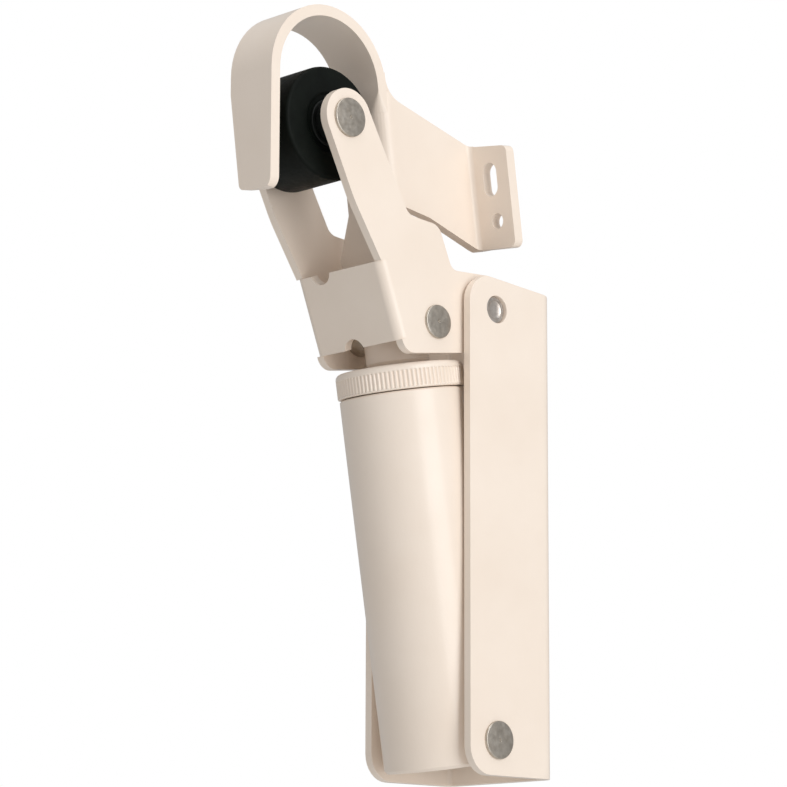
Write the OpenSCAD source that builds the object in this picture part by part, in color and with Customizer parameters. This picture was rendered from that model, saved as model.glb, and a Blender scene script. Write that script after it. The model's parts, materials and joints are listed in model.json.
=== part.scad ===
// Lever door closer with its catching hook.
// The housing's back plane is y = 0 and its mounting screws are centred on the origin.
// -Y points away from the wall, +X is the side with the pin heads, +Z is up.
// Side outlines are drawn as [out, up]: out is measured from the lever pivot away from the wall.

/* [Housing] */
// Width of the housing over its two cheeks
house_w = 41; // [39:0.5:50]
// Depth of the cheeks, from the back plane to the front edge
house_d = 32.3; // [30:0.5:40]
// Distance from the bottom edge up to the lever pivot
house_h = 126.5; // [112:0.5:160]
// Height of the front edge above the lever pivot
house_top = 9.5; // [8.5:0.5:14]
// Fall of the top edge towards the wall, in degrees
house_top_fall = 5; // [0:0.5:8]
// Radius of the front corners of the cheeks
house_corner_r = 7.5; // [3:0.5:10]
// Thickness of the housing sheet
house_t = 2.5; // [2:0.1:3]
// Outer radius of the housing bends
house_bend_r = 4; // [3.5:0.5:6]

/* [Mounting screws] */
// Distance between the screw holes across the housing
screw_dx = 20; // [14:0.5:24]
// Distance between the screw holes up the housing
screw_dz = 90; // [70:1:100]
// Diameter of the screw holes
screw_d = 5.2; // [4:0.1:6]

/* [Pivots] */
// Distance from the wall to the lever pivot and the base pin
pivot_back = 22; // [21.5:0.5:26]
// Height of the base pin above the bottom edge
base_pin_up = 9.4; // [9:0.1:12]
// Distance out from the lever pivot to the rod pin
rod_pin_out = 19.2; // [18.8:0.1:22]
// Distance from the lever pivot down to the rod pin
rod_pin_down = 5.8; // [5:0.1:7]
// Distance out from the lever pivot to the roller pin
roller_out = 51.7; // [46:0.1:60]
// Height of the roller pin above the lever pivot
roller_up = 44.7; // [41:0.1:52]

/* [Pins] */
// Diameter of the main axle
axle_d = 7.6; // [6:0.1:8]
// Depth of the main axle's ends below the housing's cheeks
axle_sink = 0.9; // [0.4:0.1:1.5]
// Diameter of the base pin's shank
base_pin_d = 6; // [5:0.1:6.5]
// Diameter of the base pin's heads
base_head_d = 10.2; // [9:0.1:12]
// Diameter of the rod pin's shank
rod_pin_d = 6; // [5:0.1:7]
// Diameter of the rod pin's heads
rod_head_d = 9.2; // [8.6:0.1:10]
// Diameter of the roller pin's shank
roller_pin_d = 7; // [5:0.1:8]
// Diameter of the roller pin's heads
roller_head_d = 10.6; // [9:0.1:12]
// Thickness of the pin heads
head_t = 0.8; // [0.6:0.1:2]

/* [Lever] */
// Thickness of the lever sheet
lever_t = 2.5; // [2:0.1:3]
// Radius of the arm's round end
arm_tip_r = 8; // [7:0.1:10]
// Radius of the lever round its pivot
lever_hub_r = 10; // [8.5:0.1:11]
// Length of the web that joins the cheeks
web_len = 21.7; // [18:0.1:22]
// Lean of the web away from the wall, in degrees
web_lean = 20.8; // [16:0.1:24]
// Outer radius of the lever bends
lever_bend_r = 2.8; // [2.8:0.1:4]
// Width of the relief notches in the web
notch_w = 7.6; // [4:0.1:8]
// Depth of the relief notches in the web
notch_d = 2.8; // [2:0.1:4]

/* [Roller] */
// Diameter of the rubber tyre
roller_d = 31; // [26:0.5:32]
// Width of the rubber tyre
roller_w = 19; // [14:0.5:24]
// Radius of the tyre's rounded edges
roller_edge_r = 1; // [0.5:0.1:3]
// Outer diameter of the roller's hub
roller_hub_d = 13; // [12:0.5:18]

/* [Cylinder] */
// Outer diameter of the cylinder tube
tube_d = 34.2; // [30:0.1:34.4]
// Wall of the cylinder tube
tube_t = 2.2; // [1.6:0.1:3]
// Length of the tube below the base pin
tube_below = 6; // [5.6:0.1:7]
// Distance from the rod pin down to the top of the adjusting ring
ring_drop = 10.2; // [9.3:0.1:12]
// Height of the adjusting ring
ring_h = 7; // [6:0.1:9]
// Outer diameter of the adjusting ring
ring_d = 35; // [31:0.1:35.2]
// Number of ribs round the adjusting ring
ring_ribs = 90; // [40:1:96]
// Diameter of the piston rod
rod_d = 10; // [8:0.1:11]
// Diameter of the rod's eye
eye_d = 17.4; // [16:0.1:18]
// Height of the piston
piston_h = 12; // [9:0.5:14]

/* [Hook] */
// Thickness of the hook's strip
hook_t = 3; // [2.5:0.1:3.5]
// Inner radius of the hook's arch
arch_r = 17.7; // [17.4:0.1:20]
// Distance out from the lever pivot to the middle of the arch
arch_out = 52; // [50:0.1:56]
// Height of the middle of the arch above the lever pivot
arch_up = 56.5; // [55:0.1:60]
// Tilt of the hook's plate and back leg, in degrees
hook_tilt = 8; // [0:0.5:10]
// Outward flare of the lip against the back leg, in degrees
lip_flare = 8; // [4:0.5:12]
// Length of the straight lip
lip_len = 29.5; // [22:0.5:34]
// Distance from the middle plane to the hook's web
hook_near = 9.5; // [8:0.1:10]
// Width of the strip at the arch
strip_w = 16.5; // [14:0.1:19]
// Width of the lip at its tip
lip_tip_w = 12.5; // [9:0.1:14]
// Distance from the middle of the arch back to the plate
plate_back = 50.5; // [46:0.1:54]
// Width of the plate beyond the web
plate_w = 13.9; // [12.6:0.1:18]
// Height of the plate
plate_h = 29; // [27:0.5:34]
// Diameter of the plate's round hole
hook_hole_d = 4.3; // [4:0.1:5]
// Width of the plate's slot
hook_slot_w = 5.2; // [4.5:0.1:6]
// Length of the plate's slot
hook_slot_len = 9.4; // [8:0.1:11]

/* [Fits] */
// Radial play of the pieces that turn or slide on one another
run_gap = 0.05; // [0.02:0.01:0.1]
// Side play between the pieces that turn next to one another
side_gap = 0.3; // [0.3:0.05:0.5]
// Width of the main axle's washers
axle_washer_t = 1.1; // [0.8:0.1:1.5]
// Radial play of the tube's eye on the base pin
base_eye_gap = 1.4; // [1.3:0.1:1.5]

/* [Hidden] */
$fn = 64;

cream = "antiquewhite";
steel = "slategray";
rubber = "black";
brass = "goldenrod";

// Places of the pivots
house_bottom = -screw_dz / 2 - 19;
pivot_z = house_bottom + house_h;
base_z = house_bottom + base_pin_up;
house_in = house_w / 2 - house_t;
lever_out = house_in - axle_washer_t;
lever_in = lever_out - lever_t;

// Places along the cylinder, measured up its axis from the base pin
axis_rise = pivot_z - rod_pin_down - base_z;
axis_len = sqrt(pow(rod_pin_out, 2) + pow(axis_rise, 2));
axis_lean = atan2(rod_pin_out, axis_rise);
ring_top = axis_len - ring_drop;
ring_bottom = ring_top - ring_h;
seam = 0.3;
tube_top = ring_bottom - seam;
tube_r = tube_d / 2;
bore_r = tube_r - tube_t;
gland_h = 12;
spigot_r = 12.2;
spigot_top = ring_top - 2.4;
plug_top = 9;
piston_bottom = plug_top + 3;
rod_r = rod_d / 2;
spring_len = 36;
spring_r = 10.6;
spring_wire = 2.4;
spring_turns = 8;
base_bore_r = base_pin_d / 2 + base_eye_gap;
screw_angle = 40;
screw_ring_r = 11.2;
screw_ring_d = 2.6;

// Pivots as [out, up] from the lever pivot
pivot_at = [0, 0];
base_at = [0, base_z - pivot_z];
rod_pin_at = [rod_pin_out, -rod_pin_down];
roller_at = [roller_out, roller_up];

// Lever outline, [out, up, corner radius]
web_top = [39.8, 7.7];
web_foot = [web_top[0] - web_len * sin(web_lean), web_top[1] - web_len * cos(web_lean)];
web_bend_r = max(lever_bend_r, lever_t + 0.3);
web_proud = 0.5;
lever_corners = [
    [roller_out + arm_tip_r * cos(28), roller_up - arm_tip_r * sin(28), 0],
    [web_top[0] + 9.9, web_top[1] + 15.1, 40],
    [web_top[0], web_top[1], 0],
    [web_foot[0], web_foot[1], 0],
    [web_foot[0] - 1.3, web_foot[1] - 3.4, 4.2],
    [9.5, -12.9, 0],
    [0, -lever_hub_r, 0],
    [0, lever_hub_r, 0],
    [13.6, 9.4, 3],
    [18.6, 21.0, 4],
    [29.9, 22.0, 4],
    [roller_out - arm_tip_r * cos(34), roller_up + arm_tip_r * sin(34), 0]];

// Hook places, measured from the middle of the arch
leg_len = 50;
fade_high = -1.5;
fade_low = -7.5;
web_high = -2.6;
web_low = -33.3;
web_fillet = 7.5;
plate_high = -16;
plate_low = plate_high - plate_h;
hook_in_r = 1.5;
hook_bend_r = hook_t + hook_in_r;
tongue_flare = 5.5;
plate_top_fall = 1.8;
plate_foot_fall = 1.2;
plate_corner_r = 2;
hook_slot_x = hook_near + 6.8;
hook_hole_x = hook_near + 8;
hook_slot_up = plate_high - 10.2;
hook_hole_up = plate_low + 7;

// Point at an angle on a circle
function arc_point(c, r, a) = [c[0] + r * cos(a), c[1] + r * sin(a)];
// Points along an arc
function arc_points(c, r, a0, a1, n) = [for (i = [0:n]) arc_point(c, r, a0 + (a1 - a0) * i / n)];
function unit(v) = v / norm(v);
// Points of one corner p, between its neighbours a and b, rounded with radius r
function corner(a, p, b, r, n) =
    r <= 0 ? [p] :
    let (va = unit(a - p), vb = unit(b - p),
         half = acos(max(-1, min(1, va * vb))) / 2,
         c = p + unit(va + vb) * r / sin(half),
         ta = p + va * r / tan(half),
         tb = p + vb * r / tan(half),
         a0 = atan2(ta[1] - c[1], ta[0] - c[0]),
         a1 = atan2(tb[1] - c[1], tb[0] - c[0]),
         turn = a1 - a0 > 180 ? a1 - a0 - 360 : (a1 - a0 < -180 ? a1 - a0 + 360 : a1 - a0))
    [for (i = [0:n]) arc_point(c, r, a0 + turn * i / n)];
// Outline from a list of [x, y, corner radius]
function rounded(pts, n = 8) =
    let (k = len(pts))
    [for (i = [0:k - 1])
        for (q = corner([pts[(i + k - 1) % k][0], pts[(i + k - 1) % k][1]],
                        [pts[i][0], pts[i][1]],
                        [pts[(i + 1) % k][0], pts[(i + 1) % k][1]], pts[i][2], n)) q];

// Children drawn as [out, up] from the lever pivot become a plate from x0 to x1
module side_plate(x0, x1) {
    translate([x1, -pivot_back, pivot_z])
        rotate([90, 0, -90])
            linear_extrude(x1 - x0) children();
}

// Rod along X from x0 to x1, centred at [out, up] from the lever pivot
module cross_rod(p, r, x0, x1) {
    translate([x0, -pivot_back - p[0], pivot_z + p[1]])
        rotate([0, 90, 0])
            cylinder(r = r, h = x1 - x0);
}

// Washer pair round a cross rod, mirrored about the middle plane
module washer_pair(p, r_in, r_out, x0, x1) {
    for (side = [0, 1])
        mirror([side, 0, 0])
            difference() {
                cross_rod(p, r_out, x0, x1);
                cross_rod(p, r_in, x0 - 1, x1 + 1);
            }
}

// Children drawn about the Z axis are put on the cylinder's axis, with 0 at the base pin
module on_cylinder() {
    translate([0, -pivot_back, base_z])
        rotate([axis_lean, 0, 0]) children();
}

// Children are put in the hook's own tilted frame, with 0 at the middle of its arch
module in_hook() {
    translate([0, -pivot_back - arch_out, pivot_z + arch_up])
        rotate([hook_tilt, 0, 0]) children();
}

// Plate from x0 to x1 in the hook's frame, drawn as [out, up]
module hook_plate_x(x0, x1) {
    translate([x1, 0, 0])
        rotate([90, 0, -90])
            linear_extrude(x1 - x0) children();
}

module housing_section() {
    w = house_w / 2;
    back_c = w - house_bend_r;
    inner_r = house_bend_r - house_t;
    polygon(concat(
        [[-w, -house_d]],
        arc_points([-back_c, -house_bend_r], house_bend_r, 180, 90, 8),
        arc_points([back_c, -house_bend_r], house_bend_r, 90, 0, 8),
        [[w, -house_d], [house_in, -house_d]],
        arc_points([back_c, -house_bend_r], inner_r, 0, 90, 6),
        arc_points([-back_c, -house_bend_r], inner_r, 90, 180, 6),
        [[-house_in, -house_d]]));
}

module housing() {
    front = house_d - pivot_back;
    color(cream)
    difference() {
        intersection() {
            translate([0, 0, house_bottom - 1])
                linear_extrude(house_h + house_top + 2) housing_section();
            side_plate(-house_w, house_w)
                polygon(rounded([
                    [front, -house_h, house_corner_r],
                    [front, house_top, house_corner_r],
                    [-pivot_back - 1, house_top - (house_d + 1) * tan(house_top_fall), 0],
                    [-pivot_back - 1, -house_h, 0]]));
        }
        cross_rod(pivot_at, axle_d / 2, -house_w, house_w);
        cross_rod(base_at, base_pin_d / 2, -house_w, house_w);
        for (x = [-1, 1], z = [-1, 1])
            translate([x * screw_dx / 2, -house_t - 1, z * screw_dz / 2])
                rotate([-90, 0, 0])
                    cylinder(d = screw_d, h = house_t + 2);
    }
}

// Pin with a flat head on each side and a small centre mark
module headed_pin(p, shank_d, head_d, reach) {
    mark_r = 0.5;
    difference() {
        union() {
            cross_rod(p, shank_d / 2, -reach, reach);
            cross_rod(p, head_d / 2, reach, reach + head_t);
            cross_rod(p, head_d / 2, -reach - head_t, -reach);
        }
        cross_rod(p, mark_r, reach + head_t - 0.4, reach + head_t + 1);
    }
}

module base_pin() {
    color(steel) headed_pin(base_at, base_pin_d, base_head_d, house_w / 2);
}

module base_pin_washers() {
    color(steel)
        washer_pair(base_at, base_pin_d / 2, base_head_d / 2 - 0.6, tube_r + side_gap + 0.1, house_in);
}

module main_axle() {
    reach = house_w / 2 - axle_sink;
    dish_r = axle_d / 2 - 1.2;
    color(steel)
    difference() {
        cross_rod(pivot_at, axle_d / 2, -reach, reach);
        for (side = [0, 1])
            mirror([side, 0, 0])
                translate([reach, -pivot_back, pivot_z])
                    rotate([0, 90, 0])
                        translate([0, 0, -0.7])
                            cylinder(r1 = dish_r * 0.4, r2 = dish_r, h = 0.8);
    }
}

module main_axle_washers() {
    color(steel)
        washer_pair(pivot_at, axle_d / 2, lever_hub_r - 2, lever_out + side_gap, house_in);
}

// Cross section of the lever's web with the two bends
module web_section() {
    r = web_bend_r;
    c = lever_out - r;
    polygon(concat(
        arc_points([-c, r], r, 180, 270, 8),
        arc_points([c, r], r, 270, 360, 8),
        arc_points([c, r], r - lever_t, 360, 270, 6),
        arc_points([-c, r], r - lever_t, 270, 180, 6)));
}

// Children drawn with Z up the web and y = 0 on its outer face
module on_web() {
    translate([0, -pivot_back - web_foot[0] - web_proud, pivot_z + web_foot[1]])
        rotate([web_lean, 0, 0]) children();
}

// Half-round relief cut into the edge of the web at height v
module web_notch(x, v) {
    translate([x, -1, v])
        rotate([-90, 0, 0])
            cylinder(d = notch_w, h = lever_t + 2);
}

module lever_cheek(x0, x1) {
    side_plate(x0, x1) polygon(rounded(lever_corners));
    cross_rod(roller_at, arm_tip_r, x0, x1);
    cross_rod(pivot_at, lever_hub_r, x0, x1);
}

module lever() {
    bush_r = axle_d / 2 + 1.5;
    color(cream)
    difference() {
        union() {
            difference() {
                union() {
                    lever_cheek(lever_in, lever_out);
                    lever_cheek(-lever_out, -lever_in);
                }
                on_web()
                    translate([-house_w, -house_w, 0])
                        cube([2 * house_w, house_w + web_bend_r, web_len]);
            }
            on_web() linear_extrude(web_len) web_section();
        }
        cross_rod(pivot_at, bush_r, -house_w, house_w);
        cross_rod(rod_pin_at, rod_pin_d / 2, -house_w, house_w);
        cross_rod(roller_at, roller_pin_d / 2, -house_w, house_w);
        on_web() web_notch(-6.9, web_len + notch_w / 2 - notch_d);
        on_web() web_notch(-1.5, notch_d - notch_w / 2);
    }
}

module lever_bushes() {
    flange = 1;
    bush_r = axle_d / 2 + 1.5;
    bore = axle_d / 2 + run_gap;
    color(brass)
    for (side = [0, 1])
        mirror([side, 0, 0])
            difference() {
                union() {
                    cross_rod(pivot_at, bush_r, lever_in, lever_out);
                    cross_rod(pivot_at, bush_r + 1.5, lever_in - flange, lever_in);
                }
                cross_rod(pivot_at, bore, lever_in - 2, lever_out + 1);
            }
}

module rod_pin() {
    color(steel) headed_pin(rod_pin_at, rod_pin_d, rod_head_d, lever_out);
}

module rod_pin_spacers() {
    color(steel)
        washer_pair(rod_pin_at, rod_pin_d / 2, rod_pin_d / 2 + 2, eye_d / 2 + side_gap, lever_in);
}

module roller_pin() {
    color(steel) headed_pin(roller_at, roller_pin_d, roller_head_d, lever_out);
}

module roller_spacers() {
    color(rubber)
        washer_pair(roller_at, roller_pin_d / 2, roller_pin_d / 2 + 2, roller_w / 2 + side_gap, lever_in);
}

// Children drawn about the Z axis are put on the roller's axis, along X
module on_roller() {
    translate([0, -pivot_back - roller_out, pivot_z + roller_up])
        rotate([0, 90, 0]) children();
}

module roller_tyre() {
    r = roller_d / 2;
    e = roller_edge_r;
    h = roller_w / 2;
    color(rubber)
    on_roller()
        rotate_extrude($fn = 96)
            polygon(concat(
                [[roller_hub_d / 2, -h]],
                arc_points([r - e, -h + e], e, -90, 0, 6),
                arc_points([r - e, h - e], e, 0, 90, 6),
                [[roller_hub_d / 2, h]]));
}

module roller_hub() {
    color(rubber)
    on_roller()
        translate([0, 0, -roller_w / 2])
            difference() {
                cylinder(d = roller_hub_d, h = roller_w);
                translate([0, 0, -1])
                    cylinder(r = roller_pin_d / 2 + run_gap, h = roller_w + 2);
            }
}

module rod_eye() {
    foot = ring_top + 0.6;
    color(cream)
    on_cylinder()
        difference() {
            union() {
                translate([0, 0, foot + 1])
                    cylinder(d = eye_d, h = axis_len + 6 - foot - 1);
                translate([0, 0, foot])
                    cylinder(d1 = eye_d - 2, d2 = eye_d, h = 1);
                translate([0, 0, axis_len + 6])
                    cylinder(d1 = eye_d, d2 = eye_d - 5, h = 2.2);
            }
            translate([-eye_d, 0, axis_len])
                rotate([0, 90, 0])
                    cylinder(r = rod_pin_d / 2 + run_gap, h = 2 * eye_d);
            translate([0, 0, foot - 1])
                cylinder(r = rod_r, h = 1 + 2);
        }
}

module piston_rod() {
    color(steel)
    on_cylinder()
        translate([0, 0, piston_bottom])
            cylinder(r = rod_r, h = ring_top + 2.6 - piston_bottom);
}

module piston() {
    groove = 3;
    color(steel)
    on_cylinder()
        translate([0, 0, piston_bottom])
            difference() {
                cylinder(r = bore_r - run_gap, h = piston_h);
                translate([0, 0, -1]) cylinder(r = rod_r, h = piston_h + 2);
                translate([0, 0, (piston_h - groove) / 2])
                    difference() {
                        cylinder(r = bore_r + 1, h = groove);
                        translate([0, 0, -1]) cylinder(r = bore_r - 2, h = groove + 2);
                    }
            }
}

module piston_seal() {
    groove = 3;
    color(rubber)
    on_cylinder()
        translate([0, 0, piston_bottom + (piston_h - groove) / 2])
            difference() {
                cylinder(r = bore_r - run_gap, h = groove);
                translate([0, 0, -1]) cylinder(r = bore_r - 2, h = groove + 2);
            }
}

module base_cross_bore() {
    translate([-house_w, 0, 0])
        rotate([0, 90, 0])
            cylinder(r = base_bore_r, h = 2 * house_w);
}

module cylinder_tube() {
    chamfer = 0.8;
    color(cream)
    on_cylinder()
        difference() {
            rotate_extrude($fn = 96)
                polygon([
                    [bore_r, -tube_below], [tube_r - chamfer, -tube_below],
                    [tube_r, -tube_below + chamfer], [tube_r, tube_top - chamfer / 2],
                    [tube_r - chamfer / 2, tube_top], [bore_r, tube_top]]);
            base_cross_bore();
        }
}

module base_plug() {
    color(cream)
    on_cylinder()
        difference() {
            translate([0, 0, -tube_below])
                cylinder(r = bore_r, h = tube_below + plug_top);
            base_cross_bore();
        }
}

module gland() {
    color(brass)
    on_cylinder()
        difference() {
            union() {
                translate([0, 0, tube_top - gland_h])
                    cylinder(r = bore_r, h = gland_h);
                translate([0, 0, tube_top])
                    cylinder(r = spigot_r, h = spigot_top - tube_top);
            }
            translate([0, 0, tube_top - gland_h - 1])
                cylinder(r = rod_r + run_gap, h = 60);
            translate([0, 0, spigot_top - 2.5])
                cylinder(r = rod_r + 2, h = 4);
            translate([0, 0, tube_top + 2])
                difference() {
                    cylinder(r = spigot_r + 1, h = 1.6);
                    translate([0, 0, -1]) cylinder(r = spigot_r - 1.2, h = 4);
                }
        }
}

module rod_seal() {
    color(rubber)
    on_cylinder()
        translate([0, 0, spigot_top - 2.5])
            difference() {
                cylinder(r = rod_r + 2, h = 2.3);
                translate([0, 0, -1]) cylinder(r = rod_r + run_gap, h = 5);
            }
}

module adjusting_ring() {
    r = ring_d / 2;
    chamfer_top = 1.4;
    rib_r = 0.36;
    rib_low = 0.6;
    rib_high = ring_h - chamfer_top - 0.7;
    color(cream)
    on_cylinder()
        translate([0, 0, ring_bottom])
            difference() {
                rotate_extrude($fn = 96)
                    polygon([
                        [spigot_r + run_gap, 0], [r - 0.3, 0], [r, 0.3],
                        [r, ring_h - chamfer_top], [r - chamfer_top, ring_h],
                        [rod_r + 0.6, ring_h], [rod_r + 0.6, ring_h - 1.6],
                        [spigot_r + run_gap, ring_h - 1.6]]);
                for (i = [0:ring_ribs - 1])
                    rotate([0, 0, 360 * i / ring_ribs])
                        translate([r + 0.08, 0, rib_low])
                            cylinder(r = rib_r, h = rib_high - rib_low, $fn = 6);
                rotate([0, 0, screw_angle])
                    translate([screw_ring_r, 0, ring_h - 1.2])
                        cylinder(r = screw_ring_d / 2, h = 3);
            }
}
module friction_band() {
    color(rubber)
    on_cylinder()
        translate([0, 0, tube_top + 2])
            difference() {
                cylinder(r = spigot_r - run_gap, h = 1.6);
                translate([0, 0, -1]) cylinder(r = spigot_r - 1.2, h = 4);
            }
}

module adjuster_screw() {
    color(steel)
    on_cylinder()
        translate([0, 0, ring_bottom])
            rotate([0, 0, screw_angle])
                translate([screw_ring_r, 0, ring_h - 1.2])
                    difference() {
                        cylinder(r = screw_ring_d / 2, h = 1.9);
                        translate([0, 0, 1.1]) cylinder(r = 0.7, h = 2, $fn = 6);
                    }
}

// Points of one ring of the spring's wire, at a turn angle
function wire_ring(a, z, sides) =
    [for (k = [0:sides - 1])
        let (t = 360 * k / sides, rr = spring_r + spring_wire / 2 * cos(t))
        [rr * cos(a), rr * sin(a), z + spring_wire / 2 * sin(t)]];

module closing_spring() {
    sides = 8;
    per_turn = 20;
    steps = spring_turns * per_turn;
    rise = (spring_len - spring_wire) / steps;
    points = [for (i = [0:steps]) for (q = wire_ring(360 * i / per_turn, rise * i, sides)) q];
    walls = [for (i = [0:steps - 1], k = [0:sides - 1])
        [i * sides + k, i * sides + (k + 1) % sides,
         (i + 1) * sides + (k + 1) % sides, (i + 1) * sides + k]];
    first = [[for (k = [sides - 1:-1:0]) k]];
    last = [[for (k = [0:sides - 1]) steps * sides + k]];
    color(steel)
    on_cylinder()
        translate([0, 0, tube_top - gland_h - spring_len + spring_wire / 2 - 0.3])
            polyhedron(points, concat(first, walls, last));
}

// Side outline of the strip: back leg, arch and flared lip
function strip_outline() =
    let (outer = arch_r + hook_t,
         lip_dir = [sin(lip_flare), -cos(lip_flare)],
         lip_a = arc_point([0, 0], outer, lip_flare),
         lip_b = arc_point([0, 0], arch_r, lip_flare))
    concat([[-outer, -leg_len]],
           arc_points([0, 0], outer, 180, lip_flare, 28),
           [lip_a + lip_dir * (lip_len + 3), lip_b + lip_dir * (lip_len + 3)],
           arc_points([0, 0], arch_r, lip_flare, 180, 28),
           [[-arch_r, -leg_len]]);

// Front outline of the arch's outer half and the lip, drawn as [across, up]
module lip_front() {
    far = hook_near - strip_w;
    polygon(rounded([
        [far, arch_r + 9, 0],
        [far, -2, 0],
        [hook_near - lip_tip_w, -lip_len + 0.9, 2],
        [hook_near, -lip_len - 0.8, 3],
        [hook_near, arch_r + 9, 0]]));
}

// Front outline of the arch's inner half and the back leg with its tongue
module leg_front() {
    far = hook_near - strip_w;
    polygon(rounded([
        [far, arch_r + 9, 0],
        [far, web_low, 0],
        [far - tongue_flare, -leg_len + 4, 2],
        [far - tongue_flare + 4, -leg_len, 2],
        [hook_near, -leg_len, 3],
        [hook_near, web_low, 0],
        [hook_near - hook_bend_r, web_low, 0],
        [hook_near - hook_bend_r, fade_high, 0],
        [hook_near, fade_high, 0],
        [hook_near, arch_r + 9, 0]]));
}

// Plan of the web with its two bends, drawn as [across, back]
module web_plan() {
    leg_c = [hook_near - hook_bend_r, arch_r + hook_bend_r];
    plate_c = [hook_near + hook_in_r, plate_back - hook_in_r];
    polygon(concat(
        arc_points(leg_c, hook_bend_r, 270, 360, 8),
        arc_points(plate_c, hook_in_r, 180, 90, 6),
        arc_points(plate_c, hook_bend_r, 90, 180, 8),
        arc_points(leg_c, hook_in_r, 360, 270, 6)));
}

// Side outline of the web, with the curve that joins its top edge to the back leg
module web_outline() {
    leg_face = arch_r + hook_t;
    polygon(rounded([
        [-arch_r + 1, 3.5, 0], [-leg_face, 3.5, 0], [-leg_face, web_high, web_fillet],
        [-plate_back - 0.4, plate_high, 0], [-plate_back - 6, plate_high, 0],
        [-plate_back - 6, plate_low, 0], [-plate_back, plate_low, 0],
        [-32.5, web_low - 3, 0], [-22.6, web_low, 0], [-arch_r + 1, web_low, 0]]));
}

// Part of the back leg where the bend's rounding fades into the strip's square edge
module bend_fade() {
    skin = 0.02;
    edge = hook_near - hook_bend_r;
    leg_face = arch_r + hook_t;
    hull() {
        translate([0, 0, fade_low])
            linear_extrude(skin)
                polygon(concat(
                    [[edge, leg_face]],
                    arc_points([edge, arch_r + hook_bend_r], hook_bend_r,
                               270, 360 - asin(1 - hook_t / hook_bend_r), 8)));
        translate([edge, arch_r, fade_high - skin])
            cube([hook_bend_r, hook_t, skin]);
    }
}

module hook() {
    reach = 40;
    slot_half = (hook_slot_len - hook_slot_w) / 2;
    color(cream)
    in_hook()
        difference() {
            union() {
                intersection() {
                    hook_plate_x(-reach, reach) polygon(strip_outline());
                    rotate([90, 0, 0]) linear_extrude(reach) lip_front();
                }
                intersection() {
                    hook_plate_x(-reach, reach) polygon(strip_outline());
                    translate([0, reach, 0]) rotate([90, 0, 0]) linear_extrude(reach) leg_front();
                }
                bend_fade();
                intersection() {
                    translate([0, 0, -2 * reach]) linear_extrude(2 * reach + fade_high) web_plan();
                    hook_plate_x(-reach, reach) web_outline();
                }
                intersection() {
                    translate([0, arch_r + 1, fade_high]) cube([hook_near, plate_back, reach]);
                    hook_plate_x(hook_near - hook_t, hook_near) web_outline();
                }
                translate([0, plate_back + hook_t, 0])
                    rotate([90, 0, 0])
                        linear_extrude(hook_t)
                            polygon(rounded([
                                [hook_near + hook_in_r, plate_low, 0],
                                [hook_near + plate_w, plate_low - plate_foot_fall, plate_corner_r],
                                [hook_near + plate_w, plate_high - plate_top_fall, plate_corner_r],
                                [hook_near + hook_in_r, plate_high, 0]]));
            }
            for (s = [-1, 1])
                translate([hook_slot_x, plate_back - 1, hook_slot_up + s * slot_half])
                    rotate([-90, 0, 0]) cylinder(d = hook_slot_w, h = hook_t + 2);
            translate([hook_slot_x - hook_slot_w / 2, plate_back - 1, hook_slot_up - slot_half])
                cube([hook_slot_w, hook_t + 2, 2 * slot_half]);
            translate([hook_hole_x, plate_back - 1, hook_hole_up])
                rotate([-90, 0, 0]) cylinder(d = hook_hole_d, h = hook_t + 2);
        }
}

housing();
base_pin();
base_pin_washers();
main_axle();
main_axle_washers();
lever();
lever_bushes();
rod_pin();
rod_pin_spacers();
roller_pin();
roller_spacers();
roller_tyre();
roller_hub();
rod_eye();
piston_rod();
piston();
piston_seal();
cylinder_tube();
base_plug();
gland();
rod_seal();
adjusting_ring();
friction_band();
adjuster_screw();
closing_spring();
hook();
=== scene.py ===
"""Looks of the lever door closer: powder-coated sheet steel, a ribbed ring, zinc pins and a rubber roller."""
import json
import math

import bmesh
import bpy
from bpy.props import FloatProperty, FloatVectorProperty, IntProperty, PointerProperty, StringProperty
from mathutils import Matrix, Vector


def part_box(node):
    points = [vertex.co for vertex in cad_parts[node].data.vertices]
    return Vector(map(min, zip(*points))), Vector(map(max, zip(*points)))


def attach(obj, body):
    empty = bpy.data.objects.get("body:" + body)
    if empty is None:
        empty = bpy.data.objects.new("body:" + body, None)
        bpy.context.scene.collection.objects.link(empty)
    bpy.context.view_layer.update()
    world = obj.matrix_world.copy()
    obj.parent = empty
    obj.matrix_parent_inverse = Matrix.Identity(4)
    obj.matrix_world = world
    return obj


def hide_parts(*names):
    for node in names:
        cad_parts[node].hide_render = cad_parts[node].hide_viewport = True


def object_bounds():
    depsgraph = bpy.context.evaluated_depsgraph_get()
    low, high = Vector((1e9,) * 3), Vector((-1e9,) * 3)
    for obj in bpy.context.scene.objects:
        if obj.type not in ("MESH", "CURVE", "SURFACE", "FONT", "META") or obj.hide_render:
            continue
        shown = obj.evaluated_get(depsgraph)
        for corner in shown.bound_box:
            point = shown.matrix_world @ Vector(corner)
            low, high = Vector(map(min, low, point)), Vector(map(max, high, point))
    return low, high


bl_info = {
    "name": "Lever Door Closer",
    "version": (1, 0, 0),
    "blender": (4, 5, 0),
    "location": "View3D > Sidebar > Door Closer",
    "description": "Builds the finished surfaces of a lever door closer with its catching hook",
    "category": "Object",
}

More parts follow.
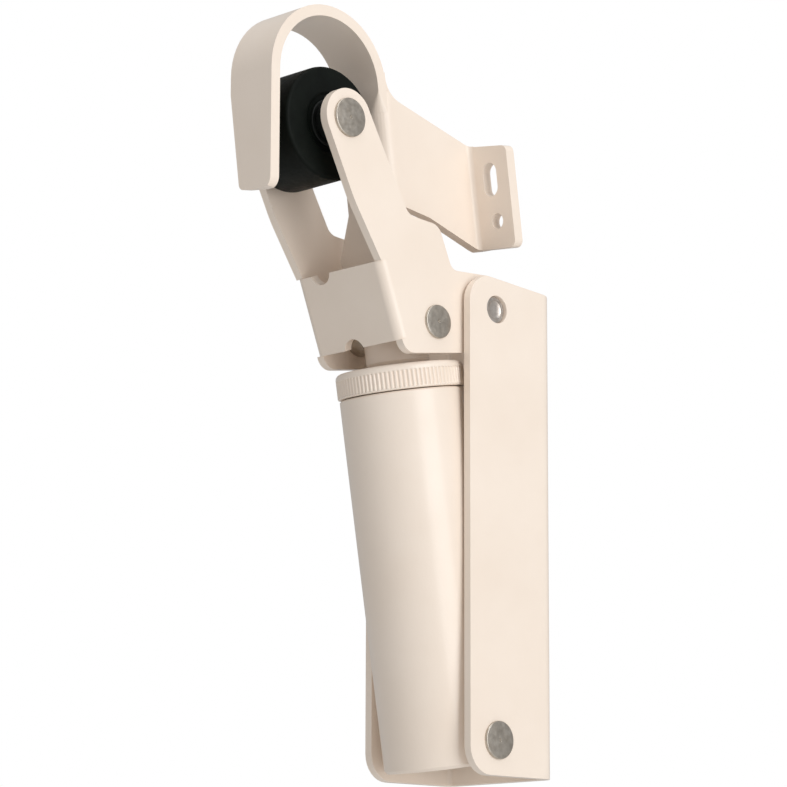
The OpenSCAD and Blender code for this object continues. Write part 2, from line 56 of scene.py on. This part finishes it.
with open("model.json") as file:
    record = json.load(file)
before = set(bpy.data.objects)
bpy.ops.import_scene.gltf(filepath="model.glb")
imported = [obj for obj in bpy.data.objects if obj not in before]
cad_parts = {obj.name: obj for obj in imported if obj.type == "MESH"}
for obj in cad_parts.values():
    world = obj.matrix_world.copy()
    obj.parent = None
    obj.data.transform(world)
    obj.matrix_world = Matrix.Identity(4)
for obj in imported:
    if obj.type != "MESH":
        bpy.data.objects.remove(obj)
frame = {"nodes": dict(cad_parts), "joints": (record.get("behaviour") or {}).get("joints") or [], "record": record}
cad_low, cad_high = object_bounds()
JOINTS = {joint["name"]: joint for joint in frame["joints"]}
MM = 0.001
FULL_TURN = 2 * math.pi


def linear(hex_colour):
    """Linear RGBA of an sRGB hex colour."""
    parts = [int(hex_colour[i : i + 2], 16) / 255 for i in (0, 2, 4)]
    return [c / 12.92 if c <= 0.04045 else ((c + 0.055) / 1.055) ** 2.4 for c in parts] + [1.0]


def middle(node):
    """Middle of a CAD node's box."""
    low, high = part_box(node)
    return (low + high) / 2


# ---------------------------------------------------------------- materials

def add_node(tree, kind, links=None, **settings):
    """Adds a node; settings are its attributes or, where it has none of that name, its sockets."""
    node = tree.nodes.new(kind)
    for name, value in settings.items():
        if hasattr(node, name):
            setattr(node, name, value)
        else:
            node.inputs[name.replace("_", " ")].default_value = value
    for socket, source in (links or {}).items():
        tree.links.new(source, node.inputs[socket])
    return node


def new_material(name, **shader):
    """A material with a Principled shader, whose sockets are given, and its object coordinates."""
    material = bpy.data.materials.new(name)
    material.use_nodes = True
    tree = material.node_tree
    tree.nodes.clear()
    surface = add_node(tree, "ShaderNodeBsdfPrincipled")
    for socket, value in shader.items():
        surface.inputs[socket.replace("_", " ")].default_value = value
    add_node(tree, "ShaderNodeOutputMaterial", {"Surface": surface.outputs["BSDF"]})
    place = add_node(tree, "ShaderNodeTexCoord").outputs["Object"]
    return material, tree, surface, place


def grain(tree, place, size_mm, detail=2.0, rough=0.5):
    """Noise whose cells are size_mm across."""
    noise = add_node(tree, "ShaderNodeTexNoise", {"Vector": place}, Scale=1 / (size_mm * MM))
    noise.inputs["Detail"].default_value = detail
    noise.inputs["Roughness"].default_value = rough
    return noise.outputs["Fac"]


def spread(tree, value, low, high):
    """Maps the useful part of a noise onto low to high."""
    remap = add_node(tree, "ShaderNodeMapRange", {"Value": value})
    for socket, number in (("From Min", 0.3), ("From Max", 0.7), ("To Min", low), ("To Max", high)):
        remap.inputs[socket].default_value = number
    return remap.outputs["Result"]


def two_tone(tree, value, dark, light):
    """Colour between two hex values."""
    mix = add_node(tree, "ShaderNodeMix", data_type="RGBA")
    mix.inputs[6].default_value = linear(dark)
    mix.inputs[7].default_value = linear(light)
    tree.links.new(value, mix.inputs[0])
    return mix.outputs[2]


def raise_surface(tree, surface, height, depth_mm, strength=1.0):
    """Bump from a height between 0 and 1, depth_mm deep."""
    bump = add_node(tree, "ShaderNodeBump", {"Height": height}, Distance=depth_mm * MM)
    bump.inputs["Strength"].default_value = strength
    tree.links.new(bump.outputs["Normal"], surface.inputs["Normal"])


def powder_coat(name, dark, light):
    """Polyester powder coat baked on sheet steel: an even cream with a soft gloss and a fine orange peel."""
    material, tree, surface, place = new_material(name, Metallic=0.0, IOR=1.5)
    surface.inputs["Coat Weight"].default_value = 0.25
    surface.inputs["Coat Roughness"].default_value = 0.12
    shade = two_tone(tree, spread(tree, grain(tree, place, 22, 3), 0, 1), dark, light)
    tree.links.new(shade, surface.inputs["Base Color"])
    tree.links.new(spread(tree, grain(tree, place, 5), 0.30, 0.40), surface.inputs["Roughness"])
    peel = add_node(tree, "ShaderNodeMath", operation="ADD", links={
        0: grain(tree, place, 1.6, 1.0), 1: grain(tree, place, 0.7, 1.0)})
    raise_surface(tree, surface, peel.outputs[0], 0.03, 0.35)
    return material


def zinc_plate(name, dark, light, centre):
    """Zinc-plated pin steel: a dull grey-brown metal with turned rings round its axis, dulled by handling."""
    material, tree, surface, place = new_material(name, Metallic=1.0)
    stain = spread(tree, grain(tree, place, 2.2, 4, 0.6), 0, 1)
    tree.links.new(two_tone(tree, stain, dark, light), surface.inputs["Base Color"])
    tree.links.new(spread(tree, grain(tree, place, 0.9, 3), 0.30, 0.48), surface.inputs["Roughness"])
    centred = add_node(tree, "ShaderNodeMapping", {"Vector": place})
    centred.inputs["Location"].default_value = [-c for c in centre]
    # Real turning marks are about 0.1 mm apart; they are drawn 0.35 mm apart so that they show.
    rings = add_node(tree, "ShaderNodeTexWave", {"Vector": centred.outputs["Vector"]},
                     wave_type="RINGS", rings_direction="X")
    rings.inputs["Scale"].default_value = 1 / (0.35 * MM) / 20
    rings.inputs["Distortion"].default_value = 0.6
    raise_surface(tree, surface, rings.outputs["Fac"], 0.02, 0.4)
    return material


def ground_steel(name, dark, light):
    """Ground and hard-chromed rod steel: bright, with very fine marks across it."""
    material, tree, surface, place = new_material(name, Metallic=1.0)
    tree.links.new(two_tone(tree, grain(tree, place, 6, 2), dark, light), surface.inputs["Base Color"])
    tree.links.new(spread(tree, grain(tree, place, 0.6, 2), 0.12, 0.22), surface.inputs["Roughness"])
    return material


def black_oxide(name, dark, light):
    """Blackened steel: dark, slightly oily metal with a satin face."""
    material, tree, surface, place = new_material(name, Metallic=1.0)
    tree.links.new(two_tone(tree, grain(tree, place, 1.5, 3), dark, light), surface.inputs["Base Color"])
    tree.links.new(spread(tree, grain(tree, place, 0.8, 2), 0.35, 0.5), surface.inputs["Roughness"])
    return material


def sintered_bronze(name, dark, light):
    """Oil-filled sintered bronze: brown-gold metal with open pores."""
    material, tree, surface, place = new_material(name, Metallic=1.0)
    pores = grain(tree, place, 0.5, 3, 0.7)
    tree.links.new(two_tone(tree, pores, dark, light), surface.inputs["Base Color"])
    surface.inputs["Roughness"].default_value = 0.42
    raise_surface(tree, surface, pores, 0.02, 0.5)
    return material


def shade_dark_nylon(name, dark, light):
    """Moulded nylon of the roller's hub and side spacers with a fine grain, coloured near black as painted shade
    for the dark gap between the roller and the lever arm.
    """
    material, tree, surface, place = new_material(name, Metallic=0.0, IOR=1.53)
    tree.links.new(two_tone(tree, spread(tree, grain(tree, place, 3, 2), 0, 1), dark, light),
                   surface.inputs["Base Color"])
    surface.inputs["Specular IOR Level"].default_value = 0.3
    tree.links.new(spread(tree, grain(tree, place, 1.0, 3), 0.42, 0.55), surface.inputs["Roughness"])
    raise_surface(tree, surface, grain(tree, place, 0.6, 2), 0.02, 0.4)
    return material


def moulded_rubber(name, dark, light):
    """Moulded nitrile rubber: near black with a green cast, a soft sheen and a fine mould grain."""
    material, tree, surface, place = new_material(name, Metallic=0.0, IOR=1.52)
    tree.links.new(two_tone(tree, spread(tree, grain(tree, place, 4, 3), 0, 1), dark, light),
                   surface.inputs["Base Color"])
    surface.inputs["Specular IOR Level"].default_value = 0.1
    tree.links.new(spread(tree, grain(tree, place, 1.2, 3), 0.46, 0.6), surface.inputs["Roughness"])
    raise_surface(tree, surface, grain(tree, place, 0.5, 2), 0.03, 0.5)
    return material


# ---------------------------------------------------------------- mesh helpers

def finished(mesh, name, node, material):
    """Turns a bmesh into the piece that stands for a CAD node and rides on its body."""
    bmesh.ops.recalc_face_normals(mesh, faces=mesh.faces)
    data = bpy.data.meshes.new(name)
    mesh.to_mesh(data)
    mesh.free()
    return placed(data, name, node, material)


def placed(data, name, node, material):
    """An object for a finished mesh, riding on the body of the CAD node that it replaces."""
    piece = bpy.data.objects.new(name, data)
    bpy.context.scene.collection.objects.link(piece)
    data.materials.clear()
    data.materials.append(material)
    for polygon in data.polygons:
        polygon.use_smooth = True
        polygon.material_index = 0
    data.set_sharp_from_angle(angle=math.radians(28))
    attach(piece, body_of_node(node))
    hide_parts(node)
    return piece


def body_of_node(node):
    """Name of the body that a CAD node belongs to."""
    groups = frame["record"]["behaviour"]["bodies"]
    return next(body for body, members in groups.items() if node in members)


def softened(node, name, material, edge_mm, segments=3):
    """A copy of a CAD node whose sharp edges are rounded, as paint or tumbling rounds them."""
    mesh = bmesh.new()
    mesh.from_mesh(frame["nodes"][node].data)
    bmesh.ops.remove_doubles(mesh, verts=mesh.verts, dist=0.002 * MM)
    bmesh.ops.dissolve_limit(mesh, angle_limit=math.radians(0.5), verts=mesh.verts, edges=mesh.edges)
    data = bpy.data.meshes.new(name)
    mesh.to_mesh(data)
    mesh.free()
    piece = placed(data, name, node, material)
    rounding = piece.modifiers.new("edge rounding", "BEVEL")
    rounding.width = edge_mm * MM
    rounding.segments = segments
    rounding.limit_method = "ANGLE"
    rounding.angle_limit = math.radians(28)
    rounding.harden_normals = True
    rounding.use_clamp_overlap = True
    even = piece.modifiers.new("flat faces shade flat", "WEIGHTED_NORMAL")
    even.mode = "FACE_AREA"
    even.weight = 80
    even.keep_sharp = False
    return piece


def turned(profile, steps):
    """A closed bmesh turned from [radius, height] points about the Z axis."""
    mesh = bmesh.new()
    points = [mesh.verts.new((radius, 0, height)) for radius, height in profile]
    edges = [mesh.edges.new(pair) for pair in zip(points, points[1:])]
    bmesh.ops.spin(mesh, geom=points + edges, axis=(0, 0, 1), cent=(0, 0, 0), dvec=(0, 0, 0),
                   angle=FULL_TURN, steps=steps, use_merge=True, use_duplicate=False)
    bmesh.ops.remove_doubles(mesh, verts=mesh.verts, dist=0.001 * MM)
    return mesh


def rounded_corner(centre, radius, start_deg, end_deg, count=6):
    """Points along a quarter or other arc of a profile."""
    return [(centre[0] + radius * math.cos(math.radians(start_deg + (end_deg - start_deg) * i / count)),
             centre[1] + radius * math.sin(math.radians(start_deg + (end_deg - start_deg) * i / count)))
            for i in range(count + 1)]


def along_x(centre):
    """Turns a shape made about Z onto the X axis through a point."""
    return Matrix.Translation(centre) @ Matrix.Rotation(math.pi / 2, 4, "Y")


def along_axis(foot, direction):
    """Turns a shape made about Z onto an axis from a point."""
    return Matrix.Translation(foot) @ Vector(direction).to_track_quat("Z", "Y").to_matrix().to_4x4()


# ---------------------------------------------------------------- settings

class CloserFinish(bpy.types.PropertyGroup):
    """Colours and edges of the finishes"""

    paint_light: StringProperty(name="Paint, light", description="sRGB hex of the cream powder coat",
                                default="F9EBDD")
    paint_dark: StringProperty(name="Paint, dark", description="sRGB hex of the coat's darker clouds",
                               default="F5E6D7")
    pin_light: StringProperty(name="Pins, light", description="sRGB hex of clean zinc plate",
                              default="CBC4BA")
    pin_dark: StringProperty(name="Pins, dark", description="sRGB hex of dulled zinc plate", default="ADA498")
    rubber: StringProperty(name="Rubber", description="sRGB hex of the roller's rubber", default="070B08")
    sheet_edge: FloatProperty(name="Sheet edge",
                              description="Rounding that the coat gives a sheet edge, in mm",
                              default=0.45, min=0.1, max=0.8)


class CloserShapes(bpy.types.PropertyGroup):
    """Sizes of the pieces that are turned or moulded"""

    ribs: IntProperty(name="Ribs", description="Ribs round the adjusting ring", default=90, min=40, max=96)
    rib_depth: FloatProperty(name="Rib depth", description="Depth between the ribs, in mm", default=0.45,
                             min=0.1, max=0.8)
    tyre_edge: FloatProperty(name="Tyre edge", description="Radius of the tyre's edges, in mm", default=1.0,
                             min=0.5, max=3)
    head_edge: FloatProperty(name="Head edge", description="Radius of the pin heads' edges, in mm",
                             default=0.35, min=0.1, max=0.5)


class CloserStage(bpy.types.PropertyGroup):
    """Camera and light"""

    camera_place: FloatVectorProperty(name="Camera", description="Place of the camera", subtype="TRANSLATION",
                                      default=(0.6184, -0.6230, -0.1254))
    azimuth: FloatProperty(name="Azimuth", description="Camera's angle round from the front, in degrees",
                           default=46.755)
    elevation: FloatProperty(name="Elevation", description="Camera's angle above the horizon, in degrees",
                             default=-10.985)
    roll: FloatProperty(name="Roll", description="Camera's roll, in degrees", default=0.18)
    lens: FloatProperty(name="Lens", description="Focal length on a 36 mm sensor", default=145.6)
    floor_drop: FloatProperty(name="Floor", description="Distance of the floor below the closer",
                              subtype="DISTANCE", default=0.25)
    key_power: FloatProperty(name="Key light", description="Power of the side light, in watts", default=3.85)
    fill: FloatProperty(name="Fill", description="Strength of the even light all round", default=0.42)


# ---------------------------------------------------------------- pieces

def coat():
    """The powder coat, made once."""
    finish = bpy.context.scene.closer_finish
    return bpy.data.materials.get("cream powder coat") or powder_coat(
        "cream powder coat", finish.paint_dark, finish.paint_light)


def pin_steel(node):
    """Zinc plate centred on one pin."""
    finish = bpy.context.scene.closer_finish
    return zinc_plate("zinc plate " + node, finish.pin_dark, finish.pin_light, middle(node))


def rubber():
    """The rubber, made once."""
    finish = bpy.context.scene.closer_finish
    return bpy.data.materials.get("moulded rubber") or moulded_rubber(
        "moulded rubber", finish.rubber, "0D120E")


class CLOSER_OT_sheet_steel(bpy.types.Operator):
    """Housing, lever and hook, bent from sheet steel and powder coated"""

    bl_idname = "closer.sheet_steel"
    bl_label = "Sheet steel"

    def execute(self, context):
        edge = context.scene.closer_finish.sheet_edge
        softened("housing", "channel_housing", coat(), edge)
        softened("lever", "swing_lever", coat(), edge)
        softened("hook", "catch_hook", coat(), edge * 1.3)
        return {"FINISHED"}


class CLOSER_OT_cylinder(bpy.types.Operator):
    """Cylinder tube with its foot plug, and the rod's eye"""

    bl_idname = "closer.cylinder"
    bl_label = "Cylinder"

    def execute(self, context):
        softened("cylinder_tube", "damper_tube", coat(), 0.25)
        softened("base_plug", "tube_foot", coat(), 0.2)
        softened("rod_eye", "rod_end_eye", coat(), 0.4)
        rod = ground_steel("ground rod steel", "B9BABB", "D6D7D8")
        softened("piston_rod", "damper_rod", rod, 0.5)
        return {"FINISHED"}


class CLOSER_OT_ring(bpy.types.Operator):
    """Adjusting ring with its ribs"""

    bl_idname = "closer.ring"
    bl_label = "Adjusting ring"

    def execute(self, context):
        shapes = context.scene.closer_shapes
        joint = JOINTS["ring_turn"]
        axis = Vector(joint["axis"]).normalized()
        corners = [v.co for v in frame["nodes"]["adjusting_ring"].data.vertices]
        origin = Vector(joint["pos_m"])
        heights = [(c - origin).dot(axis) for c in corners]
        radii = [((c - origin) - axis * (c - origin).dot(axis)).length for c in corners]
        foot = origin + axis * min(heights)
        top = max(heights) - min(heights)
        outer = max(radii)
        bore = min(radii)
        spigot = min(r for r, h in zip(radii, heights) if h < min(heights) + 0.1 * MM)
        lid = 1.6 * MM
        bevel = 1.5 * MM
        rib_low, rib_high = 0.35 * MM, top - bevel - 0.35 * MM
        profile = [(spigot, top - lid), (spigot, 0), (outer - 0.4 * MM, 0), (outer - 0.1 * MM, 0.12 * MM),
                   (outer, rib_low), (outer, rib_low + 0.3 * MM), (outer, rib_high - 0.3 * MM),
                   (outer, rib_high)]
        profile += rounded_corner((outer - bevel, top - bevel), bevel, 0, 90)
        profile += [(bore + 0.2 * MM, top), (bore, top - 0.2 * MM), (bore, top - lid), (spigot, top - lid)]
        per_rib = 6
        mesh = turned(profile, shapes.ribs * per_rib)
        depth = shapes.rib_depth * MM
        for vert in mesh.verts:
            radius = math.hypot(vert.co.x, vert.co.y)
            if radius > outer - 0.02 * MM and rib_low + 0.1 * MM < vert.co.z < rib_high - 0.1 * MM:
                phase = math.atan2(vert.co.y, vert.co.x) * shapes.ribs
                sunk = depth * (0.5 - 0.5 * math.cos(phase)) ** 1.4
                vert.co.x *= (radius - sunk) / radius
                vert.co.y *= (radius - sunk) / radius
        bmesh.ops.transform(mesh, matrix=along_axis(foot, axis), verts=mesh.verts)
        finished(mesh, "ribbed_ring", "adjusting_ring", coat())
        return {"FINISHED"}


class CLOSER_OT_roller(bpy.types.Operator):
    """Rubber tyre, and the roller's nylon hub and side spacers coloured near black as painted shade"""

    bl_idname = "closer.roller"
    bl_label = "Roller"

    def execute(self, context):
        low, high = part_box("roller_tyre")
        hub_low, hub_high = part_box("roller_hub")
        centre = middle("roller_tyre")
        half, radius = (high.x - low.x) / 2, (high.z - low.z) / 2
        hub = (hub_high.z - hub_low.z) / 2
        edge = context.scene.closer_shapes.tyre_edge * MM
        dish, dish_r, lip_r = 0.5 * MM, hub + 1.2 * MM, hub + 2 * MM
        profile = [(hub, -half + dish), (dish_r, -half + dish), (lip_r, -half)]
        profile += rounded_corner((radius - edge, -half + edge), edge, -90, 0)
        profile += [(radius, 0)]
        profile += rounded_corner((radius - edge, half - edge), edge, 0, 90)
        profile += [(lip_r, half), (dish_r, half - dish), (hub, half - dish), (hub, -half + dish)]
        mesh = turned(profile, 128)
        bmesh.ops.transform(mesh, matrix=along_x(centre), verts=mesh.verts)
        finished(mesh, "rubber_tyre", "roller_tyre", rubber())
        # The hub and spacers are coloured near black as painted shade for the gap between the roller and the lever
        # arm.
        nylon = shade_dark_nylon("nylon darkened as painted shade", "0E110F", "171A18")
        softened("roller_hub", "nylon_hub", nylon, 0.3)
        softened("roller_spacers", "roller_side_spacers", nylon, 0.15)
        return {"FINISHED"}


def headed_pin(node, name, shank, head_t, head_edge):
    """A pin with rounded flat heads and a small centre mark, turned about the X axis."""
    low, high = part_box(node)
    reach, radius = (high.x - low.x) / 2, (high.z - low.z) / 2
    neck = reach - head_t
    mark = 0.5 * MM

    def half(side):
        head = rounded_corner((radius - head_edge, reach - head_edge), head_edge, 0, 90, 5)
        line = [(shank, 0), (shank, neck), (radius, neck)] + head
        line += [(mark, reach), (mark * 0.5, reach - 0.35 * MM), (0, reach - 0.4 * MM)]
        return [(r, side * z) for r, z in line]

    profile = half(-1)[::-1] + half(1)[1:]
    mesh = turned(profile, 96)
    bmesh.ops.transform(mesh, matrix=along_x(middle(node)), verts=mesh.verts)
    return finished(mesh, name, node, pin_steel(node))


class CLOSER_OT_pins(bpy.types.Operator):
    """Main axle, pins, washers, the rod pin's spacers and the lever's bushes"""

    bl_idname = "closer.pins"
    bl_label = "Pins"

    def execute(self, context):
        edge = context.scene.closer_shapes.head_edge * MM
        head_t = 0.8 * MM
        headed_pin("base_pin", "foot_pin", 3.0 * MM, head_t, edge)
        headed_pin("rod_pin", "rod_end_pin", 3.0 * MM, head_t, edge)
        headed_pin("roller_pin", "roller_axle", 3.5 * MM, head_t, edge)
        self.dished_axle()
        for node, name in (("base_pin_washers", "foot_washers"), ("main_axle_washers", "axle_washers"),
                           ("rod_pin_spacers", "rod_spacers")):
            softened(node, name, pin_steel(node), 0.15)
        bronze = sintered_bronze("sintered bronze", "7A5A2E", "A98348")
        softened("lever_bushes", "lever_bearings", bronze, 0.15)
        softened("gland", "rod_guide", bronze, 0.15)
        return {"FINISHED"}

    def dished_axle(self):
        """Main axle with a dished spot pressed in each end, in zinc plate lighter than the pins' as a painted
        highlight for the light its dished ends catch.
        """
        low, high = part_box("main_axle")
        reach, radius = (high.x - low.x) / 2, (high.z - low.z) / 2
        dish_r, dish = radius - 1.1 * MM, 0.7 * MM

        def half(side):
            line = [(radius, 0), (radius, reach - 0.3 * MM), (radius - 0.3 * MM, reach), (dish_r, reach)]
            line += [(dish_r * math.cos(math.radians(a)), reach - dish * math.sin(math.radians(a)))
                     for a in (15, 30, 45, 60, 75, 90)]
            return [(r, side * z) for r, z in line]

        mesh = turned(half(-1)[::-1] + half(1)[1:], 96)
        bmesh.ops.transform(mesh, matrix=along_x(middle("main_axle")), verts=mesh.verts)
        # Zinc plate lighter than the pins': the zinc is real, and the extra lightness is a painted highlight.
        bright = zinc_plate("zinc plate lightened as painted highlight", "B9AFA6", "DAD4CE", middle("main_axle"))
        finished(mesh, "pivot_axle", "main_axle", bright)


class CLOSER_OT_inner_pieces(bpy.types.Operator):
    """Piston, seals, spring and set screw"""

    bl_idname = "closer.inner_pieces"
    bl_label = "Inner pieces"

    def execute(self, context):
        dark = black_oxide("black oxide", "17181A", "2A2B2D")
        softened("piston", "damper_piston", pin_steel("piston"), 0.3)
        softened("adjuster_screw", "ring_set_screw", dark, 0.12)
        for node in ("piston_seal", "rod_seal", "friction_band"):
            self.dress(node, rubber())
        self.dress("closing_spring", dark)
        return {"FINISHED"}

    def dress(self, node, material):
        """Gives a CAD node its finish in place."""
        data = frame["nodes"][node].data
        data.materials.clear()
        data.materials.append(material)


class CLOSER_OT_stage(bpy.types.Operator):
    """Floor, light and camera"""

    bl_idname = "closer.stage"
    bl_label = "Stage"

    def execute(self, context):
        scene, stage = context.scene, context.scene.closer_stage
        self.make_floor(stage)
        self.make_lights(scene, stage)
        self.make_camera(scene, stage)
        return {"FINISHED"}

    def make_floor(self, stage):
        """A wide pale floor below the closer."""
        mesh = bmesh.new()
        bmesh.ops.create_grid(mesh, x_segments=4, y_segments=4, size=3)
        bmesh.ops.translate(mesh, verts=mesh.verts, vec=(0, 0, cad_low.z - stage.floor_drop))
        data = bpy.data.meshes.new("floor")
        mesh.to_mesh(data)
        mesh.free()
        material, tree, surface, place = new_material("pale floor", Roughness=0.7)
        tree.links.new(two_tone(tree, grain(tree, place, 90), "ECEBE9", "F2F1EF"),
                       surface.inputs["Base Color"])
        data.materials.append(material)
        floor = bpy.data.objects.new("floor", data)
        bpy.context.scene.collection.objects.link(floor)

    def make_lights(self, scene, stage):
        """An even white surround, a tall soft light on the pin side, a weak one in front and one from above."""
        world = bpy.data.worlds.new("white surround")
        world.use_nodes = True
        tree = world.node_tree
        tree.nodes.clear()
        seen = add_node(tree, "ShaderNodeLightPath").outputs["Is Camera Ray"]
        mix = add_node(tree, "ShaderNodeMix", {0: seen}, data_type="FLOAT")
        mix.inputs[2].default_value = stage.fill
        mix.inputs[3].default_value = 1.0
        sky = add_node(tree, "ShaderNodeBackground", {"Strength": mix.outputs[0]})
        sky.inputs["Color"].default_value = (1, 1, 1, 1)
        add_node(tree, "ShaderNodeOutputWorld", {"Surface": sky.outputs["Background"]})
        scene.world = world
        scene.view_settings.view_transform = "Standard"
        self.add_light("side light", 86, 10, 0.8, (0.5, 0.9), stage.key_power)
        self.add_light("front light", 10, 30, 1.1, (0.8, 0.8), stage.key_power * 0.05)
        self.add_light("top light", 20, 78, 0.9, (0.7, 0.7), stage.key_power * 0.8)

    def add_light(self, name, azimuth, elevation, distance, size, power):
        """A soft light that faces the closer from an azimuth and elevation in degrees."""
        data = bpy.data.lights.new(name, "AREA")
        data.shape = "RECTANGLE"
        data.size, data.size_y = size
        data.energy = power
        light = bpy.data.objects.new(name, data)
        bpy.context.scene.collection.objects.link(light)
        a, e = math.radians(azimuth), math.radians(elevation)
        away = Vector((math.sin(a) * math.cos(e), -math.cos(a) * math.cos(e), math.sin(e)))
        light.location = (cad_low + cad_high) / 2 + away * distance
        light.rotation_euler = away.to_track_quat("Z", "Y").to_euler()

    def make_camera(self, scene, stage):
        """The camera looks up at the closer from the front and the pin side."""
        data = bpy.data.cameras.new("camera")
        data.sensor_width = 36
        data.lens = stage.lens
        camera = bpy.data.objects.new("camera", data)
        scene.collection.objects.link(camera)
        turn = Matrix.Rotation(math.radians(stage.azimuth), 4, "Z")
        tip = Matrix.Rotation(math.radians(90 - stage.elevation), 4, "X")
        roll = Matrix.Rotation(math.radians(stage.roll), 4, "Z")
        camera.matrix_world = Matrix.Translation(stage.camera_place) @ turn @ tip @ roll
        scene.camera = camera


class CLOSER_PT_panel(bpy.types.Panel):
    """Lists the steps that build the closer"""

    bl_idname = "CLOSER_PT_panel"
    bl_label = "Door Closer"
    bl_space_type = "VIEW_3D"
    bl_region_type = "UI"
    bl_category = "Door Closer"

    def draw(self, context):
        for settings in (context.scene.closer_finish, context.scene.closer_shapes,
                         context.scene.closer_stage):
            box = self.layout.box()
            for name in settings.__annotations__:
                box.prop(settings, name)
        for step in STEPS:
            self.layout.operator(step.bl_idname)


SETTINGS = {"closer_finish": CloserFinish, "closer_shapes": CloserShapes, "closer_stage": CloserStage}
STEPS = [CLOSER_OT_stage, CLOSER_OT_sheet_steel, CLOSER_OT_cylinder, CLOSER_OT_ring, CLOSER_OT_roller,
         CLOSER_OT_pins, CLOSER_OT_inner_pieces]


def register():
    for name, group in SETTINGS.items():
        bpy.utils.register_class(group)
        setattr(bpy.types.Scene, name, PointerProperty(type=group))
    for step in STEPS:
        bpy.utils.register_class(step)
    bpy.utils.register_class(CLOSER_PT_panel)


def unregister():
    bpy.utils.unregister_class(CLOSER_PT_panel)
    for step in reversed(STEPS):
        bpy.utils.unregister_class(step)
    for name, group in SETTINGS.items():
        delattr(bpy.types.Scene, name)
        bpy.utils.unregister_class(group)


def main():
    register()
    for step in STEPS:
        group, name = step.bl_idname.split(".")
        getattr(getattr(bpy.ops, group), name)()


if __name__ == "__main__":
    main()
